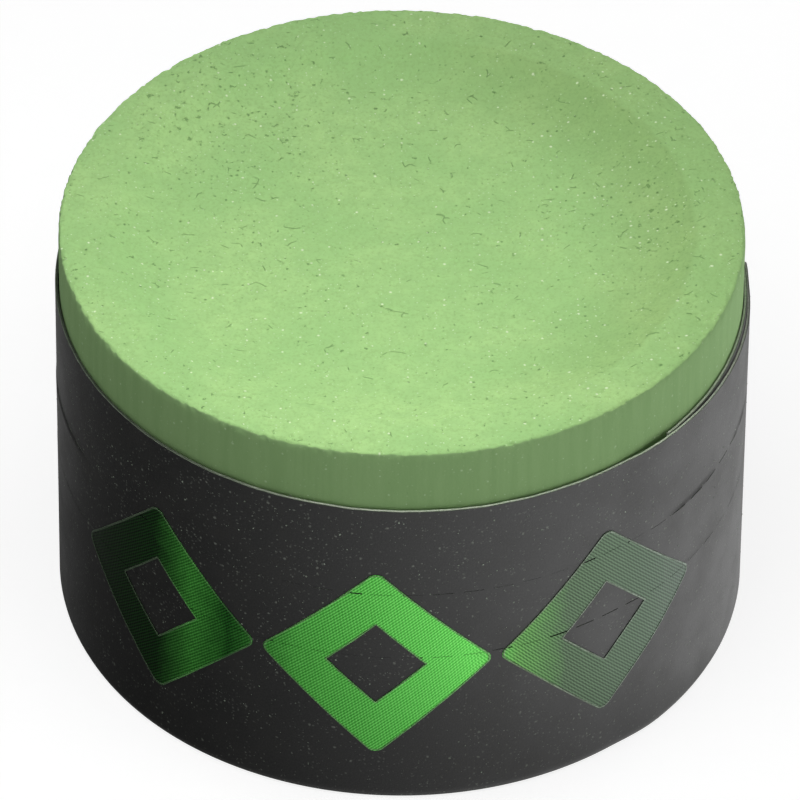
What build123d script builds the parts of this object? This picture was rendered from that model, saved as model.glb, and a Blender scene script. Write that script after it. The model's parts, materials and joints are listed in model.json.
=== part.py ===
from build123d import *
import os
from math import cos, radians, sin

# A round cue chalk: a pressed chalk cylinder with a worn-in dish on top, wrapped in a two-ply printed
# strip that laps over its own start and carries three foil diamonds.
# Millimetres. The origin is the centre of the resting face, +Z points up, and the foil faces -Y.
# Angles are in degrees round the chalk, 0 at the front (-Y), 90 at the right (+X), seen from above.

# Chalk cylinder
CHALK_RADIUS = 14.34
CHALK_HEIGHT = 19.1
TOP_EDGE_RADIUS = 0.15
FOOT_CHAMFER = 0.35

# Dish for the cue tip: a nearly flat middle inside a steeper wall, both round arcs in section
DISH_RADIUS = 12.2
DISH_MIDDLE_RADIUS = 9.6
DISH_MIDDLE_SLOPE = 4.0
DISH_WALL_SLOPE = 27.0
DISH_LIP_RADIUS = 0.8

# Layers of the wrapped strip, from the chalk outwards
GLUE_THICKNESS = 0.04
PAPER_THICKNESS = 0.08
FACE_THICKNESS = 0.04
LAP_GLUE_THICKNESS = 0.02
FOIL_THICKNESS = 0.02

# Where the strip starts, climbs over its own start and ends; a full turn is 360
STRIP_START = 50.0
CLIMB_START = 398.0
CLIMB_END = 409.0
STRIP_END = 460.0

# Heights of the strip; it is wound slightly askew, so its top edge leans down towards the right
STRIP_BOTTOM = 0.05
STRIP_TOP = 16.1
STRIP_LEAN = 0.2
GLUE_SETBACK = 0.5
TAIL_DROP = 0.75

# Two rows of tear-off slits through the strip and what is stamped on it
SLIT_ROW_HEIGHTS = (11.5, 8.0)
SLIT_ROW_LEAN = 0.1
SLITS_PER_TURN = 72
SLIT_LENGTH = 0.85
SLIT_WIDTH = 0.07

# Foil diamonds, each with a diamond window
DIAMOND_HALF_WIDTH = 4.9
DIAMOND_HALF_HEIGHT = 5.15
DIAMOND_CENTRE_HEIGHT = 7.65
DIAMOND_CORNER_RADIUS = 0.45
WINDOW_SCALE = 0.42
DIAMOND_ANGLES = {"left": -43.5, "centre": -3.5, "right": 36.5}

# The foil only lies where the strip's face shows, so its layer starts clear of the lapped-over stretch
FOIL_LAYER_START = 120.0

# Derived sizes
STRIP_THICKNESS = PAPER_THICKNESS + FACE_THICKNESS
FIRST_TURN_RADIUS = CHALK_RADIUS + GLUE_THICKNESS
SECOND_TURN_RADIUS = FIRST_TURN_RADIUS + STRIP_THICKNESS + LAP_GLUE_THICKNESS
LABEL_RADIUS = FIRST_TURN_RADIUS + STRIP_THICKNESS
OVERLONG = CHALK_HEIGHT + 2.0
REACH = LABEL_RADIUS + 5.0


def around(radius, angle):
    """A point at this radius and angle round the chalk, in the XY plane."""
    return (radius * sin(radians(angle)), -radius * cos(radians(angle)))


def arc_around(radius, first, last):
    """An arc of the given radius between two angles round the chalk."""
    middle = (first + last) / 2
    return ThreePointArc(around(radius, first), around(radius, middle), around(radius, last))


def heading(angle):
    """The direction in which the strip runs at this angle."""
    return (cos(radians(angle)), sin(radians(angle)))


def strip_curve(offset, start):
    """The wound strip's path at a distance out from its glued side: first turn, climb, then the lap."""
    arc_around(FIRST_TURN_RADIUS + offset, start, CLIMB_START)
    Spline(
        around(FIRST_TURN_RADIUS + offset, CLIMB_START),
        around(SECOND_TURN_RADIUS + offset, CLIMB_END),
        tangents=(heading(CLIMB_START), heading(CLIMB_END)),
    )
    arc_around(SECOND_TURN_RADIUS + offset, CLIMB_END, STRIP_END)


def strip_layer(inner, outer, start=STRIP_START):
    """A sketch face of one layer of the wound strip, between two distances from its glued side."""
    with BuildSketch() as layer:
        with BuildLine():
            strip_curve(inner, start)
            strip_curve(outer, start)
            for turn_radius, angle in ((FIRST_TURN_RADIUS, start), (SECOND_TURN_RADIUS, STRIP_END)):
                Line(around(turn_radius + inner, angle), around(turn_radius + outer, angle))
        make_face()
    return layer.sketch


def lean_plane(height):
    """A plane at this height on the axis, leaning down towards the right as the strip does."""
    return Plane(origin=(0, 0, height), z_dir=(STRIP_LEAN, 0, LABEL_RADIUS))


def slit_places():
    """Where each slit goes: a location facing outwards, on rows that lean with the strip."""
    places = []
    for row_height in SLIT_ROW_HEIGHTS:
        for index in range(SLITS_PER_TURN):
            angle = 360.0 * (index + 0.5) / SLITS_PER_TURN
            across = around(LABEL_RADIUS, angle)
            height = row_height - SLIT_ROW_LEAN * sin(radians(angle))
            outwards = (sin(radians(angle)), -cos(radians(angle)), 0)
            facing = Plane(origin=(*across, height), x_dir=(*heading(angle), 0), z_dir=outwards)
            places.append(facing.location)
    return places


# Cutters shared by every layer of the strip

with BuildPart() as slit_cutters:
    with Locations(*slit_places()):
        Box(SLIT_LENGTH, SLIT_WIDTH, 4 * STRIP_THICKNESS)

with BuildPart() as tail_cutter:
    # the lapping tail's top edge runs down from the strip's own top edge towards its end
    with BuildSketch(Plane.YZ):
        with BuildLine():
            lap_start_y = around(SECOND_TURN_RADIUS, STRIP_START)[1]
            lap_end_y = around(SECOND_TURN_RADIUS, STRIP_END)[1] + 1.0
            tail_top = STRIP_TOP - STRIP_LEAN * sin(radians(STRIP_START))
            Polyline(
                (lap_start_y, tail_top),
                (lap_end_y, tail_top - TAIL_DROP),
                (lap_end_y, STRIP_TOP + 1.0),
                (lap_start_y, STRIP_TOP + 1.0),
                close=True,
            )
        make_face()
    extrude(amount=REACH)
    with Locations((0, 0, STRIP_TOP)):
        Cylinder(SECOND_TURN_RADIUS, 8.0, mode=Mode.SUBTRACT)


# Chalk body

with BuildPart() as chalk_body:
    with BuildSketch(Plane.XZ) as chalk_section:
        with BuildLine():
            middle_arc_radius = DISH_MIDDLE_RADIUS / sin(radians(DISH_MIDDLE_SLOPE))
            wall_run = sin(radians(DISH_WALL_SLOPE)) - sin(radians(DISH_MIDDLE_SLOPE))
            wall_arc_radius = (DISH_RADIUS - DISH_MIDDLE_RADIUS) / wall_run
            middle_rise = middle_arc_radius * (1 - cos(radians(DISH_MIDDLE_SLOPE)))
            wall_rise = wall_arc_radius * (cos(radians(DISH_MIDDLE_SLOPE)) - cos(radians(DISH_WALL_SLOPE)))
            dish_depth = middle_rise + wall_rise
            dish_middle = JernArc(
                start=(0, CHALK_HEIGHT - dish_depth),
                tangent=(1, 0),
                radius=middle_arc_radius,
                arc_size=DISH_MIDDLE_SLOPE,
            )
            dish_wall = JernArc(
                start=dish_middle @ 1,
                tangent=dish_middle % 1,
                radius=wall_arc_radius,
                arc_size=DISH_WALL_SLOPE - DISH_MIDDLE_SLOPE,
            )
            Polyline(
                dish_wall @ 1,
                (CHALK_RADIUS, CHALK_HEIGHT),
                (CHALK_RADIUS, 0),
                (0, 0),
                dish_middle @ 0,
            )
        make_face()
        lip = chalk_section.vertices().sort_by_distance((DISH_RADIUS, CHALK_HEIGHT, 0))[0]
        fillet(lip, radius=DISH_LIP_RADIUS)
        top_edge = chalk_section.vertices().sort_by_distance((CHALK_RADIUS, CHALK_HEIGHT, 0))[0]
        fillet(top_edge, radius=TOP_EDGE_RADIUS)
        foot = chalk_section.vertices().sort_by_distance((CHALK_RADIUS, 0, 0))[0]
        chamfer(foot, length=FOOT_CHAMFER)
    revolve(axis=Axis.Z)


# Glue between the chalk and the strip's first turn, set back from both edges of the strip

with BuildPart() as label_glue:
    with BuildSketch(Plane.XY.offset(STRIP_BOTTOM + GLUE_SETBACK + FOOT_CHAMFER)):
        Circle(FIRST_TURN_RADIUS)
        Circle(CHALK_RADIUS, mode=Mode.SUBTRACT)
    extrude(amount=OVERLONG)
    split(bisect_by=lean_plane(STRIP_TOP - GLUE_SETBACK), keep=Keep.BOTTOM)


# The strip's pale paper ply, on the side that is glued to the chalk

with BuildPart() as label_paper:
    with BuildSketch(Plane.XY.offset(STRIP_BOTTOM)):
        add(strip_layer(0, PAPER_THICKNESS))
    extrude(amount=OVERLONG)
    split(bisect_by=lean_plane(STRIP_TOP), keep=Keep.BOTTOM)
    add(tail_cutter.part, mode=Mode.SUBTRACT)
    add(slit_cutters.part, mode=Mode.SUBTRACT)


# The strip's dark printed face ply

with BuildPart() as label_face:
    with BuildSketch(Plane.XY.offset(STRIP_BOTTOM)):
        add(strip_layer(PAPER_THICKNESS, STRIP_THICKNESS))
    extrude(amount=OVERLONG)
    split(bisect_by=lean_plane(STRIP_TOP), keep=Keep.BOTTOM)
    add(tail_cutter.part, mode=Mode.SUBTRACT)
    add(slit_cutters.part, mode=Mode.SUBTRACT)


# Glue under the lapping tail

with BuildPart() as lap_glue:
    with BuildSketch(Plane.XY.offset(STRIP_BOTTOM + GLUE_SETBACK)):
        with BuildLine():
            arc_around(LABEL_RADIUS, CLIMB_END + 2, STRIP_END - 1)
            arc_around(SECOND_TURN_RADIUS, CLIMB_END + 2, STRIP_END - 1)
            for glue_end in (CLIMB_END + 2, STRIP_END - 1):
                Line(around(LABEL_RADIUS, glue_end), around(SECOND_TURN_RADIUS, glue_end))
        make_face()
    extrude(amount=STRIP_TOP - TAIL_DROP - STRIP_LEAN - 2 * GLUE_SETBACK)


# Foil diamonds on the face ply

def foil_diamond(angle):
    """One foil diamond with a diamond window, following the strip's outer face at this angle."""
    facing = Plane(
        origin=(0, 0, DIAMOND_CENTRE_HEIGHT),
        x_dir=(*heading(angle), 0),
        z_dir=(sin(radians(angle)), -cos(radians(angle)), 0),
    )
    corners = [
        (DIAMOND_HALF_WIDTH, 0),
        (0, DIAMOND_HALF_HEIGHT),
        (-DIAMOND_HALF_WIDTH, 0),
        (0, -DIAMOND_HALF_HEIGHT),
    ]
    with BuildPart() as diamond:
        with BuildSketch(Plane.XY.offset(STRIP_BOTTOM)):
            add(strip_layer(STRIP_THICKNESS, STRIP_THICKNESS + FOIL_THICKNESS, start=FOIL_LAYER_START))
        extrude(amount=STRIP_TOP - STRIP_BOTTOM)
        with BuildSketch(facing) as outline:
            with BuildLine():
                Polyline(*corners, close=True)
            make_face()
            fillet(outline.vertices(), radius=DIAMOND_CORNER_RADIUS)
            with BuildLine():
                Polyline(*[(WINDOW_SCALE * x, WINDOW_SCALE * y) for x, y in corners], close=True)
            make_face(mode=Mode.SUBTRACT)
        extrude(amount=REACH, mode=Mode.INTERSECT)
        add(slit_cutters.part, mode=Mode.SUBTRACT)
    return diamond


os.makedirs("parts", exist_ok=True)

chalk_body.part.label = "chalk_body"
export_step(chalk_body.part, "parts/chalk_body.step")

label_glue.part.label = "label_glue"
export_step(label_glue.part, "parts/label_glue.step")

label_paper.part.label = "label_paper"
export_step(label_paper.part, "parts/label_paper.step")

label_face.part.label = "label_face"
export_step(label_face.part, "parts/label_face.step")

lap_glue.part.label = "lap_glue"
export_step(lap_glue.part, "parts/lap_glue.step")

for side, diamond_angle in DIAMOND_ANGLES.items():
    diamond = foil_diamond(diamond_angle)
    diamond.part.label = f"stamped_diamond_{side}"
    export_step(diamond.part, f"parts/stamped_diamond_{side}.step")
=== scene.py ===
import itertools
import json
import math

import bpy
import numpy as np
from mathutils import Matrix, Vector


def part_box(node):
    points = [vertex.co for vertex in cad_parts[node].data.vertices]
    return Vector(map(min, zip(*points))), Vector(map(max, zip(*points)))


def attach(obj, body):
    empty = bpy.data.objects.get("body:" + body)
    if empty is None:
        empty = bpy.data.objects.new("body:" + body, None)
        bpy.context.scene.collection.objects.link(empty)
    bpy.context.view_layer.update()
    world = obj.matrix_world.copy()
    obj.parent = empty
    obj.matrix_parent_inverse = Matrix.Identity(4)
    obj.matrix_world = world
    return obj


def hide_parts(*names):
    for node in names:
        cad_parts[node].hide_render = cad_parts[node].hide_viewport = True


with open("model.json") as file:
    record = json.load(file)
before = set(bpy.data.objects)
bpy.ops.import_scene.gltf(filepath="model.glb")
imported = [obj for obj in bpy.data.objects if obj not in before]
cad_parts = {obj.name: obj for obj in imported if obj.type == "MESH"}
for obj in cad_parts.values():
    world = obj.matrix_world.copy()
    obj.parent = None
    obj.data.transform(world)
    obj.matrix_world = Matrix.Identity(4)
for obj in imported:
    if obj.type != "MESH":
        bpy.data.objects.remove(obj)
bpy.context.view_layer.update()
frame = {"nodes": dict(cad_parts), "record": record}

# Lengths below are in millimetres, and become metres when a mesh is made.
# Angles go round the chalk in degrees: 0 at the front (-Y), 90 at the right (+X).
MM = 0.001


def box_mm(node):
    """A CAD node's lowest and highest corners, in millimetres."""
    low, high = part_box(node)
    return low / MM, high / MM


def mount_radius(name):
    """The radius in millimetres that the record gives for a round mount."""
    found = [mount for mount in frame["record"]["mounts"] if mount["name"] == name]
    return found[0]["dims"]["r_mm"]


# Sizes taken from the frame
CHALK_RADIUS = box_mm("chalk_body")[1].x
CHALK_HEIGHT = box_mm("chalk_body")[1].z
LABEL_RADIUS = mount_radius("label_grip")
GLUE_RADIUS = box_mm("label_glue")[1].x
STRIP_BOTTOM = box_mm("label_paper")[0].z
STRIP_HIGHEST = box_mm("label_paper")[1].z

# Sizes of the chalk's section, as the CAD part has them
DISH_RADIUS = 12.2
DISH_MIDDLE_RADIUS = 9.6
DISH_MIDDLE_SLOPE = math.radians(4.0)
DISH_WALL_SLOPE = math.radians(27.0)
DISH_LIP_SOFTNESS = 0.05
TOP_EDGE_RADIUS = 0.15
FOOT_CHAMFER = 0.35

# The wound strip: its layers, where it climbs over its own start, and how it leans
PAPER_THICKNESS = 0.08
STRIP_THICKNESS = LABEL_RADIUS - GLUE_RADIUS
LAP_GLUE_THICKNESS = 0.02
FOIL_THICKNESS = 0.02
STRIP_START = 50.0
CLIMB_START = 398.0
CLIMB_END = 409.0
STRIP_END = 460.0
STRIP_LEAN = 0.2
STRIP_TOP = STRIP_HIGHEST - STRIP_LEAN
TAIL_DROP = 0.75
SLIT_ROW_HEIGHTS = (8.0, 11.5)
SLIT_ROW_LEAN = 0.1
SLIT_SPACING = 5.0
SLIT_LENGTH = 0.85
SLIT_WIDTH = 0.07

# The camera's distances in label radii, its turns in radians and its lens in millimetres
CAMERA_BACK = 23.8144
CAMERA_UP = 21.6560
CAMERA_PITCH = 0.7228
CAMERA_ROLL = 0.0112
CAMERA_LENS = 489.9


def around(radius, angle):
    """X and Y at a radius and an angle in degrees round the chalk."""
    turn = np.radians(angle)
    return radius * np.sin(turn), -radius * np.cos(turn)


def placed(radius, angle, height):
    """Points from a radius, an angle round the chalk and a height."""
    x, y = around(radius, angle)
    return np.stack([x, y, np.broadcast_to(height, np.shape(x))], axis=-1)


def smoothstep(low, high, value):
    """0 below low, 1 above high, and a smooth rise between."""
    share = np.clip((value - low) / (high - low), 0.0, 1.0)
    return share * share * (3.0 - 2.0 * share)


def stretch(value, start, full, fading, end):
    """1 between full and fading, and a smooth fall to 0 at start and end."""
    return smoothstep(start, full, value) * smoothstep(end, fading, value)


# ------ noise and mesh helpers

NOISE_TABLE_SIZE = 64


class LatticeNoise:
    """Smooth repeatable noise from -1 to 1, read from a seeded table."""

    def __init__(self, seed):
        shape = (NOISE_TABLE_SIZE,) * 3
        self.table = np.random.default_rng(seed).uniform(-1.0, 1.0, shape)

    def __call__(self, points, feature):
        cell = points / feature
        low = np.floor(cell).astype(int)
        share = cell - low
        share = share * share * (3.0 - 2.0 * share)
        total = np.zeros(points.shape[:-1])
        for corner in itertools.product((0, 1), repeat=3):
            weight = np.prod(np.where(corner, share, 1.0 - share), axis=-1)
            index = (low + corner) % NOISE_TABLE_SIZE
            total += weight * self.table[index[..., 0], index[..., 1], index[..., 2]]
        return total


def add_object(name, data):
    """A new object in the scene, with the mesh, light or camera that it holds."""
    added = bpy.data.objects.new(name, data)
    bpy.context.scene.collection.objects.link(added)
    return added


def make_object(name, points_mm, faces, material, smooth=True):
    """A mesh object from points in millimetres, which rides on the chalk's one body."""
    mesh = bpy.data.meshes.new(name)
    mesh.from_pydata((np.asarray(points_mm) * MM).tolist(), [], faces)
    mesh.materials.append(material)
    mesh.polygons.foreach_set("use_smooth", [smooth] * len(mesh.polygons))
    mesh.validate()
    mesh.update()
    piece = add_object(name, mesh)
    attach(piece, "root")
    return piece


def band_faces(ring_count, segment_count):
    """Quads between neighbouring rings, closed round."""
    faces = []
    for ring in range(ring_count - 1):
        here, after = ring * segment_count, (ring + 1) * segment_count
        for k in range(segment_count):
            nxt = (k + 1) % segment_count
            faces.append((here + k, after + k, after + nxt, here + nxt))
    return faces


def lathe_faces(ring_count, segment_count):
    """Quads between neighbouring rings, and a fan to a middle point at each end."""
    faces = band_faces(ring_count, segment_count)
    first_pole = ring_count * segment_count
    last_pole = first_pole + 1
    last = (ring_count - 1) * segment_count
    for k in range(segment_count):
        nxt = (k + 1) % segment_count
        faces.append((first_pole, k, nxt))
        faces.append((last_pole, last + nxt, last + k))
    return faces


# ------ material helpers


class Nodes:
    """Short ways to add shader nodes to a material or a world."""

    def __init__(self, owner):
        owner.use_nodes = True
        self.owner = owner
        self.tree = owner.node_tree
        self.coordinates = self.tree.nodes.new("ShaderNodeTexCoord")
        self.mm = self.vector("MULTIPLY", self.coordinates.outputs["Object"], (1.0 / MM,) * 3)

    def link(self, value, socket):
        """Sets a socket to a number or colour, or links it to another node's output."""
        if isinstance(value, bpy.types.NodeSocket):
            self.tree.links.new(value, socket)
        else:
            socket.default_value = value

    def vector(self, operation, first, second):
        node = self.tree.nodes.new("ShaderNodeVectorMath")
        node.operation = operation
        self.link(first, node.inputs[0])
        self.link(second, node.inputs[1])
        scalar = operation in ("DOT_PRODUCT", "DISTANCE")
        return node.outputs["Value" if scalar else "Vector"]

    def math(self, operation, *values, clamp=False):
        node = self.tree.nodes.new("ShaderNodeMath")
        node.operation = operation
        node.use_clamp = clamp
        for value, socket in zip(values, node.inputs):
            self.link(value, socket)
        return node.outputs["Value"]

    def times(self, first, second):
        return self.math("MULTIPLY", first, second)

    def plus(self, first, second):
        return self.math("ADD", first, second)

    def minus(self, first, second):
        return self.math("SUBTRACT", first, second)

    def times_plus(self, first, second, third):
        return self.math("MULTIPLY_ADD", first, second, third)

    def larger(self, first, second):
        return self.math("MAXIMUM", first, second)

    def split(self, vector):
        node = self.tree.nodes.new("ShaderNodeSeparateXYZ")
        self.link(vector, node.inputs[0])
        return tuple(node.outputs)

    def turn_mm(self, radius):
        """The distance in millimetres round the chalk from its front, at a radius."""
        x, y, _ = self.split(self.mm)
        return self.times(self.math("ARCTAN2", x, self.times(y, -1.0)), radius)

    def combine(self, x, y, z):
        node = self.tree.nodes.new("ShaderNodeCombineXYZ")
        for value, socket in zip((x, y, z), node.inputs):
            self.link(value, socket)
        return node.outputs["Vector"]

    def noise_node(self, coordinates, scale, detail, roughness=0.5):
        node = self.tree.nodes.new("ShaderNodeTexNoise")
        self.link(coordinates, node.inputs["Vector"])
        node.inputs["Scale"].default_value = scale
        node.inputs["Detail"].default_value = detail
        node.inputs["Roughness"].default_value = roughness
        return node

    def noise(self, coordinates, scale, detail=2.0, roughness=0.5):
        return self.noise_node(coordinates, scale, detail, roughness).outputs["Fac"]

    def wander(self, scale):
        """Two soft random values, which bend the coordinates that they are added to."""
        return self.split(self.noise_node(self.mm, scale, 1.0).outputs["Color"])[:2]

    def voronoi(self, coordinates, scale, feature="F1"):
        node = self.tree.nodes.new("ShaderNodeTexVoronoi")
        node.voronoi_dimensions = "2D"
        node.feature = feature
        self.link(coordinates, node.inputs["Vector"])
        node.inputs["Scale"].default_value = scale
        return node

    def spots(self, flat, scale, chance, smallest, largest, soft):
        """Scattered soft-edged spots on a flat pair of coordinates, with sizes in shares of a cell."""
        cell = self.voronoi(flat, scale)
        kind, other, _ = self.split(cell.outputs["Color"])
        present = self.math("GREATER_THAN", kind, self.minus(1.0, chance))
        radius = self.times_plus(other, largest - smallest, smallest)
        inside = self.minus(radius, cell.outputs["Distance"])
        depth = self.math("DIVIDE", inside, self.times(radius, soft), clamp=True)
        return self.times(depth, present)

    def ramp(self, value, low, high, to_low=0.0, to_high=1.0):
        """A smooth change from to_low to to_high as value goes from low to high."""
        node = self.tree.nodes.new("ShaderNodeMapRange")
        node.interpolation_type = "SMOOTHSTEP"
        self.link(value, node.inputs["Value"])
        ends = {"From Min": low, "From Max": high, "To Min": to_low, "To Max": to_high}
        for name, number in ends.items():
            node.inputs[name].default_value = number
        return node.outputs["Result"]

    def mix(self, share, first, second, blend="MIX"):
        node = self.tree.nodes.new("ShaderNodeMix")
        node.data_type = "RGBA"
        node.blend_type = blend
        self.link(share, node.inputs["Factor"])
        self.link(first, node.inputs["A"])
        self.link(second, node.inputs["B"])
        return node.outputs["Result"]

    def colour_ramp(self, value, stops):
        """A colour that goes through (position, colour) stops as value goes from 0 to 1."""
        node = self.tree.nodes.new("ShaderNodeValToRGB")
        self.link(value, node.inputs["Fac"])
        elements = node.color_ramp.elements
        while len(elements) < len(stops):
            elements.new(0.5)
        for element, (position, colour) in zip(elements, stops):
            element.position = position
            element.color = colour
        return node.outputs["Color"]

    def bump(self, height, distance_mm):
        node = self.tree.nodes.new("ShaderNodeBump")
        node.inputs["Strength"].default_value = 1.0
        node.inputs["Distance"].default_value = distance_mm * MM
        self.link(height, node.inputs["Height"])
        return node.outputs["Normal"]

    def finish(self, colour, roughness, normal=None, metallic=0.0, specular=0.5):
        """Connects a material's shader, and gives the material."""
        shader = self.tree.nodes["Principled BSDF"]
        self.link(colour, shader.inputs["Base Color"])
        self.link(roughness, shader.inputs["Roughness"])
        shader.inputs["Metallic"].default_value = metallic
        shader.inputs["Specular IOR Level"].default_value = specular
        if normal is not None:
            self.link(normal, shader.inputs["Normal"])
        return self.owner


def material_nodes(name):
    """Node helpers for a new material."""
    return Nodes(bpy.data.materials.new(name))


def srgb(red, green, blue):
    """A linear RGBA colour from three display values of 11 to 255."""
    return tuple(((value / 255 + 0.055) / 1.055) ** 2.4 for value in (red, green, blue)) + (1.0,)


# ------ materials


def chalk_scratches(n, flat_x, flat_y):
    """Short curved scratches here and there."""
    curl_x, curl_y = n.wander(0.8)
    bent_x = n.times_plus(curl_x, 1.2, n.times(flat_x, 0.6))
    bent_y = n.times_plus(curl_y, 1.2, flat_y)
    from_line = n.voronoi(n.combine(bent_x, bent_y, 0.0), 1.25, "DISTANCE_TO_EDGE").outputs["Distance"]
    where = n.ramp(n.noise(n.mm, 1.9, detail=0.0), 0.69, 0.75)
    return n.times(n.ramp(from_line, 0.0, 0.035, 1.0, 0.0), where)


def chalk_pits(n, flat):
    """Pits, pinholes and ragged flakes, thickest at the back left and along the right of the dish."""
    worn_left = n.vector("DISTANCE", n.mm, (-7.0, 7.5, CHALK_HEIGHT))
    worn_right = n.vector("DISTANCE", n.mm, (10.5, 1.0, CHALK_HEIGHT))
    worn = n.larger(n.ramp(worn_left, 2.0, 8.0, 1.0, 0.0), n.ramp(worn_right, 1.5, 6.0, 0.8, 0.0))
    pits = n.spots(flat, 2.6, n.times_plus(worn, 0.07, 0.03), 0.08, 0.22, 0.8)
    pinholes = n.spots(flat, 4.4, n.times_plus(worn, 0.08, 0.06), 0.10, 0.28, 0.8)
    crowd = n.larger(n.ramp(n.noise(n.mm, 0.9), 0.42, 0.66, 0.0, 0.6), worn)
    elsewhere = n.vector("ADD", n.mm, (31.0, 17.0, 5.0))
    ragged = n.noise(elsewhere, 3.3, detail=3.0, roughness=0.62)
    flakes = n.ramp(n.times_plus(crowd, 0.065, ragged), 0.69, 0.755)
    return n.larger(n.larger(pits, n.times(pinholes, 0.6)), n.times(flakes, 0.9))


def painted_glints(n, flat):
    """Pale grains, painted paler as glints where they catch the light."""
    spark = n.spots(flat, 2.7, 0.09, 0.07, 0.21, 0.7)
    glint = n.spots(flat, 5.2, 0.14, 0.10, 0.28, 0.8)
    return n.larger(spark, n.times(glint, 0.45))


def right_wall_shade(n, mottle):
    """Where painted shade darkens the dish's wall, more towards the right, where the wall faces away from
    the light.
    """
    x, y, _ = n.split(n.mm)
    from_axis = n.math("SQRT", n.times_plus(x, x, n.times(y, y)))
    rightward = n.math("DIVIDE", n.times_plus(x, 0.985, n.times(y, 0.174)), from_axis)
    lip = n.times_plus(mottle, 0.5, n.minus(from_axis, 0.25))
    in_wall = n.times(n.ramp(from_axis, 6.8, 12.0), n.ramp(lip, 12.15, 12.45, 1.0, 0.42))
    return n.times(in_wall, n.ramp(rightward, 0.0, 0.85))


def chalk_material():
    """Pressed chalk: mottled, with pits and short scratches darkened as painted shade, pale grains painted
    paler as glints, streaked sides, and painted shade on the dish's right wall.
    """
    n = material_nodes("chalk")
    x, y, z = n.split(n.mm)
    geometry = n.tree.nodes.new("ShaderNodeNewGeometry")
    facing_up = n.math("ABSOLUTE", n.split(geometry.outputs["Normal"])[2])
    on_top = n.math("GREATER_THAN", facing_up, 0.6)
    on_side = n.minus(1.0, on_top)
    flat_x = n.plus(n.times(x, on_top), n.times(n.turn_mm(CHALK_RADIUS), on_side))
    flat_y = n.plus(n.times(y, on_top), n.times(z, on_side))
    wander_x, wander_y = n.wander(4.0)
    flat = n.combine(n.times_plus(wander_x, 0.09, flat_x), n.times_plus(wander_y, 0.09, flat_y), 0.0)

    cloud = n.noise(n.mm, 0.22, detail=4.0, roughness=0.55)
    mottle = n.noise(n.mm, 1.6, detail=4.0, roughness=0.6)
    grain = n.noise(n.mm, 7.0, detail=3.0, roughness=0.7)
    colour = n.mix(n.ramp(cloud, 0.35, 0.65), srgb(170, 216, 140), srgb(182, 224, 147))
    colour = n.mix(n.ramp(mottle, 0.3, 0.7, 0.0, 0.6), colour, srgb(165, 208, 136))
    colour = n.mix(n.ramp(grain, 0.45, 0.7, 0.0, 0.45), colour, srgb(150, 192, 118))

    upright = n.vector("MULTIPLY", n.mm, (1.0, 1.0, 0.08))
    streak = n.noise(upright, 2.2, detail=4.0, roughness=0.6)
    side_colour = n.mix(n.ramp(streak, 0.35, 0.65), srgb(152, 191, 128), srgb(158, 196, 133))
    side_colour = n.mix(n.ramp(grain, 0.45, 0.75, 0.0, 0.3), side_colour, srgb(150, 192, 124))
    colour = n.mix(on_top, side_colour, colour)
    # painted shade on the dish's wall towards the right
    wall_shade = n.times(right_wall_shade(n, mottle), on_top)
    colour = n.mix(wall_shade, colour, (0.83, 0.81, 0.78, 1.0), blend="MULTIPLY")

    scratches = n.times(chalk_scratches(n, flat_x, flat_y), on_top)
    pits = n.times(chalk_pits(n, flat), n.times_plus(on_top, 0.85, 0.15))
    hollow = n.larger(pits, n.times(scratches, 0.8))
    # pits and scratches darkened in colour: painted shade in the hollows
    colour = n.mix(n.times(hollow, 0.62), colour, srgb(98, 142, 76))
    bright = n.times(painted_glints(n, flat), n.times_plus(on_top, 0.6, 0.4))
    # painted glints: pale grains mixed into the colour
    colour = n.mix(n.times(bright, 0.9), colour, srgb(236, 252, 214))

    height = n.minus(n.times(grain, 0.5), n.times(hollow, 1.6))
    normal = n.bump(n.plus(height, n.times(bright, 0.6)), 0.022)
    return n.finish(colour, n.ramp(grain, 0.2, 0.8, 0.86, 0.98), normal, specular=0.2)


def face_material():
    """Charcoal printed film, satin, with a fine dry tooth and chalk dust caught on it."""
    n = material_nodes("label_face")
    wander_x, wander_y = n.wander(5.0)
    flat_x = n.times_plus(wander_x, 0.16, n.turn_mm(LABEL_RADIUS))
    flat_y = n.times_plus(wander_y, 0.16, n.split(n.mm)[2])
    flat = n.combine(flat_x, flat_y, 0.0)
    tooth = n.noise(n.mm, 12.0, roughness=0.6)
    smear = n.noise(n.mm, 0.40, detail=5.0, roughness=0.6)
    colour = n.mix(n.ramp(smear, 0.35, 0.72), srgb(30, 31, 30), srgb(44, 44, 42))
    colour = n.mix(n.ramp(tooth, 0.4, 0.75, 0.0, 0.4), colour, srgb(62, 63, 60))

    patch = n.ramp(n.noise(n.mm, 0.7, detail=3.0), 0.38, 0.62)
    specks = n.spots(flat, 2.8, n.times_plus(patch, 0.18, 0.04), 0.08, 0.24, 0.9)
    motes = n.spots(flat, 5.0, n.times_plus(patch, 0.34, 0.10), 0.12, 0.34, 0.9)
    dusty = n.larger(n.times(specks, 0.85), n.times(motes, 0.42))
    colour = n.mix(dusty, colour, srgb(150, 156, 146))

    geometry = n.tree.nodes.new("ShaderNodeNewGeometry")
    cut_edge = n.math("GREATER_THAN", n.split(geometry.outputs["Normal"])[2], 0.7)
    colour = n.mix(n.times(cut_edge, 0.6), colour, srgb(136, 146, 130))

    normal = n.bump(n.plus(tooth, n.times(dusty, 0.6)), 0.008)
    roughness = n.plus(n.ramp(smear, 0.3, 0.8, 0.40, 0.52), n.times(dusty, 0.4))
    return n.finish(colour, roughness, normal)


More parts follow.
